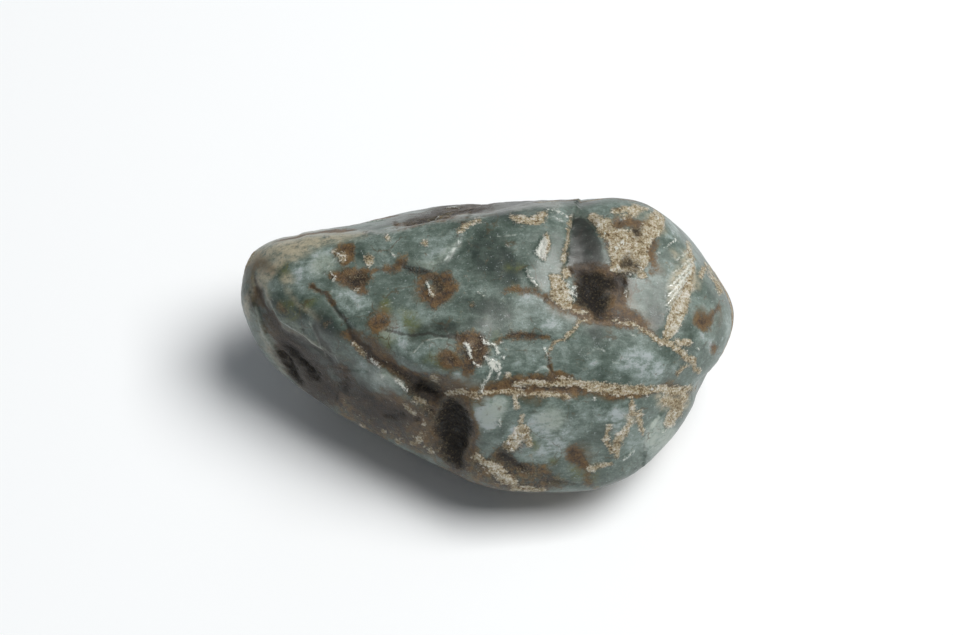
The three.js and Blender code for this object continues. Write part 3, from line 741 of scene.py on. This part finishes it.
# Soft marks go from 0 to 1 over their fade; crisp ones are a half at their edge.
def paint(piece, name, depths):
    values = np.ones((len(piece.data.vertices), 4), np.float32)
    for part, kind in enumerate(layers[name]):
        if kind in fades:
            values[:, part] = smooth(*fades[kind], depths[kind])
        else:
            values[:, part] = np.clip(.5 + depths[kind] / (2 * stone["fieldRange"]), 0, 1)
    layer = piece.data.color_attributes.new(name, "FLOAT_COLOR", "POINT")
    layer.data.foreach_set("color", values.ravel())


# the map has two round charts, the upper half of the stone over the lower one
chart = {"waist": 1.06, "width": .49, "height": .24}


def layOutMap(piece):
    points = pointsOf(piece)
    half = np.array([(high - low) / 2 / mm for low, high in zip(stoneLow, stoneHigh)])
    middle = np.array([(high + low) / 2 / mm for low, high in zip(stoneLow, stoneHigh)])
    ray = (points - middle) / half
    ray /= np.linalg.norm(ray, axis=1, keepdims=True)
    faceUp = np.array([ray[list(face.vertices), 2].mean() > 0 for face in piece.data.polygons])
    counts = np.array([len(face.vertices) for face in piece.data.polygons])
    corner = np.empty(len(piece.data.loops), np.int32)
    piece.data.loops.foreach_get("vertex_index", corner)
    upper = np.repeat(faceUp, counts)
    rise = np.where(upper, ray[corner, 2], -ray[corner, 2])
    reach = np.sqrt(np.maximum(1 - rise, 0)) / chart["waist"]    # 1 is a little past the waist
    around = np.hypot(ray[corner, 0], ray[corner, 1]) + 1e-9
    across = .5 + chart["width"] * reach * ray[corner, 0] / around
    upward = .25 + chart["height"] * reach * ray[corner, 1] / around + np.where(upper, .5, 0)
    layer = piece.data.uv_layers.new(name="OFBake")
    layer.data.foreach_set("uv", np.stack([across, upward], 1).ravel().astype(np.float32))


def makeStone():
    piece = copySolid()
    points, normals = pointsOf(piece), normalsOf(piece)
    place = readPlace(points, normals)
    refineNear(piece, np.maximum(markDepth(chipsAndGlints, place), markDepth(cracks, place)))
    print("stone mesh:", len(piece.data.vertices), "points")

    points, normals = pointsOf(piece), normalsOf(piece)
    place, depths = readMarks(points, normals)
    growWild(points, place, depths)
    height = carve(points, place, depths)
    height *= smooth(*stone["restZone"], points[:, 2])
    moved = points + normals * height[:, None]
    moved[:, 2] = np.maximum(moved[:, 2], 0)
    piece.data.vertices.foreach_set("co", (moved * mm).ravel().astype(np.float32))
    for face in piece.data.polygons:
        face.use_smooth = True
    print("relief carved")

    for name in layers:
        paint(piece, name, depths)
    layOutMap(piece)
    piece.data.update()
    print("marks laid on")
    return piece


# colours are as seen on a screen, red, green, blue from 0 to 255
jade = {
    "deep": (46, 58, 52),
    # dark faces and painted shadow lines
    "darkFaceAndShadow": (58, 69, 65),
    "dark": (68, 81, 73),
    "middle": (90, 104, 96),
    "light": (124, 138, 132),
    "lilac": (164, 173, 174),
    "olive": (94, 100, 54),
    "earth": (74, 58, 32),
    "soil": (42, 30, 17),
    "moss": (88, 88, 64),
    "film": (182, 172, 148),
    "rustDark": (34, 22, 12),
    "rust": (82, 60, 32),
    "rustLight": (114, 88, 50),
    "warm": (94, 73, 40),
    "pale": (150, 160, 146),
    # colour that the painted shade multiplies by
    "paintedShade": (106, 99, 78),
    "dirtDark": (22, 17, 12),
    "dirtAndShadow": (62, 51, 37),
    "dirtCrumb": (150, 140, 116),
    "tanPit": (72, 56, 36),
    "tan": (130, 112, 80),
    "cream": (178, 166, 139),
    "chalk": (220, 217, 207),
    # near white of the chips and of the painted glints
    "chipAndGlint": (214, 216, 208),
    # worn crest, partly a painted highlight
    "wornEdge": (160, 163, 158),
    # pale rims, partly a painted highlight along flake-scar edges
    "rim": (190, 198, 190),
    "roughness": .42,
    "glow": .2,              # how much light travels under the surface
    "glowDepth": (.7, 1.0, .9),    # mm, for red, green and blue
    "coat": .12,
    "coatRoughness": .18,
    "ior": 1.5,
    "bumpHeight": .12,       # mm
    "bumpStrength": .9,
}

# noise that breaks the colours up: where it is read, how big its lumps are in mm, its detail,
# its roughness and how far it is bent
noises = {
    "drift": ("plain", 5, 4, .55, .6),
    "mottle": ("plain", 1.3, 6, .68, .4),
    "blot": ("apart", 1.0, 6, .7),
    "grit": ("apart", .27, 3, .7),
    "dust": ("plain", .13, 2, .7),
    "felt": ("stretched", .5, 4, .7),
    "streak": ("drawn", .42, 4, .65),
    "flecks": ("plain", .42, 3, .6),
    "specks": ("apart", .5, 4, .7),
    "lines": ("apart", .9, 2, .5, 1.2),
    "nicked": ("plain", 1.7, 3, .6),
    "patchy": ("plain", .85, 3, .6, .5),
    "cracked": ("apart", 4, 3, .6),
    "crumbs": ("plain", .8, 4, .65),
}

# how much of what lies under it each colour hides
cover = {
    "olive": .8, "pale": .7, "darkFaceAndShadow": .85, "flecks": .45, "specks": .5, "nicks": .4, "rim": .6,
    "worn": .55, "soaked": .9, "hair": .6, "film": .85, "warm": .8, "rust": .92, "crack": .6,
    "tan": .93, "dirtAndShadow": .93, "paintedShade": .9, "chipAndGlint": .85,
}

# where each mark sets in and where it is full; a half is its drawn edge
turns = {
    "darkFaceAndShadow": (.44, .56), "rim": (.44, .55), "worn": (.42, .8), "rust": (.26, .78),
    "crack": (.5, .66), "tan": (.41, .62), "dirtAndShadow": (.3, .95), "chipAndGlint": (.47, .66),
    "soaked": (.12, .72), "flecks": (.80, .95), "nicks": (.006, .03), "nicked": (.62, .8),
    "hair": (.004, .022), "cracked": (.5, .75),
}

# hair cracks run between cells of this many to a mm, bent by noise
hairs = {"cells": .22, "bend": 1.6, "bendScale": .7, "bendDetail": 4}


def shade(name):
    def linear(part):
        part = part / 255
        return part / 12.92 if part <= .04045 else ((part + .055) / 1.055) ** 2.4
    return (*[linear(part) for part in jade[name]], 1)


def makeJade():
    material = bpy.data.materials.new("jadeite")
    material.use_nodes = True
    tree = material.node_tree
    shader = tree.nodes["Principled BSDF"]

    def feed(socket, value):
        if isinstance(value, bpy.types.NodeSocket):
            tree.links.new(value, socket)
        else:
            socket.default_value = value

    def node(kind, inputs, **settings):
        made = tree.nodes.new("ShaderNode" + kind)
        for key, value in settings.items():
            setattr(made, key, value)
        for key, value in inputs.items():
            feed(made.inputs[key], value)
        return made

    # arithmetic on any number of values, worked out from the left
    def chain(operation):
        def work(total, *values):
            for value in values:
                total = node("Math", {0: total, 1: value}, operation=operation).outputs[0]
            return total
        return work

    plus, minus, times, most = [chain(name) for name in ("ADD", "SUBTRACT", "MULTIPLY", "MAXIMUM")]

    def edge(value, low, high):
        return node("MapRange", {"Value": value, "From Min": low, "From Max": high},
                    interpolation_type="SMOOTHSTEP").outputs["Result"]

    # noise spread out so it fills 0 to 1, with lumps about size mm across
    def cloudy(name):
        where, size, detail, rough, *bend = noises[name]
        plain = node("TexNoise", {"Vector": read[where], "Scale": 1 / size, "Detail": detail,
                                  "Roughness": rough, "Distortion": sum(bend)}).outputs["Fac"]
        return node("MapRange", {"Value": plain, "From Min": .28, "From Max": .72}).outputs["Result"]

    def over(share, below, above):
        if isinstance(above, str):
            above = shade(above)
        return node("Mix", {0: share, 6: below, 7: above}, data_type="RGBA").outputs[2]

    def ramp(value, *stops):
        made = node("ValToRGB", {0: value})
        steps = made.color_ramp.elements
        while len(steps) < len(stops):
            steps.new(.5)
        for step, (place, name) in zip(steps, stops):
            step.position = place
            step.color = shade(name)
        return made.outputs["Color"]

    def marks(name):
        colour = node("Attribute", {}, attribute_name=name).outputs["Color"]
        parts = node("SeparateColor", {0: colour}).outputs
        return parts[0], parts[1], parts[2]

    # weights of several values, added up round a middle of a half
    def blend(*pairs):
        total = .5
        for value, weight in pairs:
            total = plus(total, times(minus(value, .5), weight))
        return total

    def ragged(depth, *pairs):
        return plus(depth, minus(blend(*pairs), .5))

    inMetres = node("TexCoord", {}).outputs["Object"]
    place = node("VectorMath", {0: inMetres, "Scale": 1 / mm}, operation="SCALE").outputs[0]
    read = {
        "plain": place,
        "stretched": node("Mapping", {"Vector": place, "Rotation": (.4, .3, .5),
                                      "Scale": (.3, 1, 1)}).outputs[0],
        "drawn": node("Mapping", {"Vector": place, "Scale": (.16, 1, 1)}).outputs[0],
        "apart": node("Mapping", {"Vector": place, "Location": (31, 17, 7)}).outputs[0],
    }
    rustField, dirtAndShadowField, tanField = marks("stains")
    cloud, dusk, olive = marks("tints")
    chipAndGlintField, crackField, crestField = marks("skin")
    earth, film, rimAndHighlightField = marks("washes")
    paintedShade, warm, pale = marks("tones")
    darkFaceAndShadowField = node("Attribute", {}, attribute_name="tones").outputs["Alpha"]

    drift, mottle, blot, grit = [cloudy(name) for name in ("drift", "mottle", "blot", "grit")]
    dust, felt, streak, patchy = [cloudy(name) for name in ("dust", "felt", "streak", "patchy")]

    # the body: clouds, mottling and felted streaks
    tone = plus(blend((drift, .32), (mottle, .28), (felt, .2), (grit, .13), (dust, .1)), .05)
    cloud = times(cloud, plus(blend((mottle, .7), (drift, .5), (felt, .3)), .28))
    tone = minus(plus(tone, times(cloud, .33)), times(dusk, .32))
    colour = ramp(tone, (.18, "deep"), (.36, "dark"), (.54, "middle"), (.72, "light"),
                  (.92, "lilac"))
    share = edge(blend((blot, .9), (grit, .5)), .1, .8)
    colour = over(times(olive, share, cover["olive"]), colour, "olive")
    share = edge(blend((mottle, .5), (felt, .6)), -.1, .8)
    colour = over(times(pale, share, cover["pale"]), colour, "pale")
    # dark faces, and painted shadow lines under flake edges
    darkFaceAndShadow = edge(ragged(darkFaceAndShadowField, (mottle, .12), (grit, .12)), *turns["darkFaceAndShadow"])
    darkFaceAndShadowColour = ramp(tone, (.1, "deep"), (.6, "darkFaceAndShadow"), (1, "middle"))
    colour = over(times(darkFaceAndShadow, cover["darkFaceAndShadow"]), colour, darkFaceAndShadowColour)
    for name, tint in (("flecks", "lilac"), ("specks", "earth")):
        share = edge(cloudy(name), *turns["flecks"])
        colour = over(times(share, cover[name]), colour, tint)
    middle = chain("ABSOLUTE")(minus(cloudy("lines"), .5), 0)
    nicks = minus(1, edge(middle, *turns["nicks"]))
    nicks = times(nicks, edge(cloudy("nicked"), *turns["nicked"]))
    colour = over(times(nicks, cover["nicks"]), colour, "lilac")
    # pale scar rims, partly a painted highlight along the edges
    rim = times(edge(rimAndHighlightField, *turns["rim"]), edge(blot, .1, .6))
    colour = over(times(rim, cover["rim"]), colour, "rim")
    # crest painted paler: partly wear, partly a painted highlight
    worn = edge(ragged(crestField, (mottle, .3), (grit, .2)), *turns["worn"])
    colour = over(times(worn, cover["worn"]), colour, "wornEdge")

    # earth soaked in along the marks and hair cracks through the body
    halo = most(edge(rustField, .12, .6), times(edge(dirtAndShadowField, .15, .6), .9),
                times(edge(tanField, .12, .6), .5))
    soaked = times(plus(times(halo, .45), earth), .75)
    soaked = edge(ragged(soaked, (blot, .7), (mottle, .5)), *turns["soaked"])
    soilColour = ramp(blend((mottle, .7), (blot, .6), (grit, .7), (dust, .3)), (0, "dirtDark"),
                      (.3, "soil"), (.5, "earth"), (.74, "moss"), (1, "tan"))
    colour = over(times(soaked, cover["soaked"]), colour, soilColour)
    push = node("TexNoise", {"Vector": place, "Scale": hairs["bendScale"],
                             "Detail": hairs["bendDetail"]}).outputs["Color"]
    push = node("VectorMath", {0: push, "Scale": hairs["bend"]}, operation="SCALE").outputs[0]
    bent = node("VectorMath", {0: place, 1: push}).outputs[0]
    gaps = node("TexVoronoi", {"Vector": bent, "Scale": hairs["cells"]},
                feature="DISTANCE_TO_EDGE").outputs["Distance"]
    hair = times(minus(1, edge(gaps, *turns["hair"])), edge(cloudy("cracked"), *turns["cracked"]))
    colour = over(times(hair, cover["hair"]), colour, "earth")
    share = edge(blend((felt, .7), (blot, .8), (grit, .3)), -.1, .8)
    colour = over(times(film, share, cover["film"]), colour, "film")
    share = edge(blend((blot, .8), (grit, .4)), -.1, .7)
    colour = over(times(warm, share, cover["warm"]), colour, "warm")

    # rust, crusts, and chips with painted glints
    rustField = most(rustField, times(earth, blot, .85))
    tanField = most(tanField, times(earth, cloudy("crumbs"), .56))
    rustShare = edge(ragged(rustField, (blot, .55), (grit, .2)), *turns["rust"])
    rustTone = minus(blend((blot, .8), (mottle, .6), (grit, .45), (dust, .15)),
                     times(edge(rustField, .6, 1), .16))
    rustColour = ramp(rustTone, (.05, "rustDark"), (.4, "rust"), (.85, "rustLight"))
    colour = over(times(rustShare, cover["rust"]), colour, rustColour)
    crack = edge(ragged(crackField, (blot, .3), (grit, .15)), *turns["crack"])
    colour = over(times(crack, cover["crack"]), colour, "rustDark")
    tanShare = edge(ragged(tanField, (patchy, .16), (streak, .2), (grit, .24)), *turns["tan"])
    tanTone = plus(blend((patchy, .42), (streak, .28), (grit, .62), (dust, .3)), times(cloud, .22))
    tanTone = minus(tanTone, times(edge(blot, .6, .92), .3))
    tanColour = ramp(tanTone, (.08, "tanPit"), (.3, "tan"), (.55, "cream"), (.85, "chalk"))
    colour = over(times(tanShare, cover["tan"]), colour, tanColour)
    # dirt, and painted shadow lines under the flake edge and in the main vein
    dirtAndShadowShare = edge(ragged(dirtAndShadowField, (blot, .6), (patchy, .4), (grit, .35)), *turns["dirtAndShadow"])
    dirtAndShadowColour = ramp(blend((blot, .3), (grit, .9), (dust, .4)), (.35, "dirtDark"), (.62, "dirtAndShadow"),
                      (.95, "dirtCrumb"))
    colour = over(times(dirtAndShadowShare, cover["dirtAndShadow"]), colour, dirtAndShadowColour)
    # painted shade: the colour is multiplied darker in hollows, under flake edges, on the left flank
    # and behind the crest
    paintedShadeShare = times(paintedShade, edge(blend((blot, .6), (mottle, .5)), -.3, .6), cover["paintedShade"])
    colour = node("Mix", {0: paintedShadeShare, 6: colour, 7: shade("paintedShade")}, data_type="RGBA",
                  blend_type="MULTIPLY").outputs[2]
    # chips: near-white crumbs and flakes, and painted glints
    chipAndGlint = edge(ragged(chipAndGlintField, (grit, .34), (dust, .16)), *turns["chipAndGlint"])
    colour = over(times(chipAndGlint, cover["chipAndGlint"]), colour, "chipAndGlint")
    feed(shader.inputs["Base Color"], colour)

    # gloss: the jade is satin, crusts are dull and chips look wet
    dull = most(times(tanShare, .8), times(dirtAndShadowShare, .85), times(rustShare, .55), times(soaked, .5))
    gloss = most(plus(jade["roughness"] - .1, times(mottle, .2)), dull)
    feed(shader.inputs["Roughness"], times(gloss, minus(1, times(chipAndGlint, .7))))
    feed(shader.inputs["Coat Weight"], times(jade["coat"], minus(1, dull)))

    # grain finer than the mesh
    coarse = most(tanShare, dirtAndShadowShare, times(most(rustShare, soaked), .4))
    heights = times(coarse, plus(grit, times(dust, .5)))
    polish = times(blend((dust, .5), (mottle, .5)), .14)
    bump = node("Bump", {"Height": plus(heights, polish), "Strength": jade["bumpStrength"],
                         "Distance": jade["bumpHeight"] * mm}).outputs[0]
    feed(shader.inputs["Normal"], bump)

    shader.inputs["Subsurface Weight"].default_value = jade["glow"]
    shader.inputs["Subsurface Radius"].default_value = jade["glowDepth"]
    shader.inputs["Subsurface Scale"].default_value = mm
    shader.inputs["IOR"].default_value = jade["ior"]
    shader.inputs["Coat Roughness"].default_value = jade["coatRoughness"]
    return material


addCamera()
addStudio()
pebble = makeStone()
pebble.data.materials.append(makeJade())
print("jade mixed")
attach(pebble, "root")
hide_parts(stone["node"])
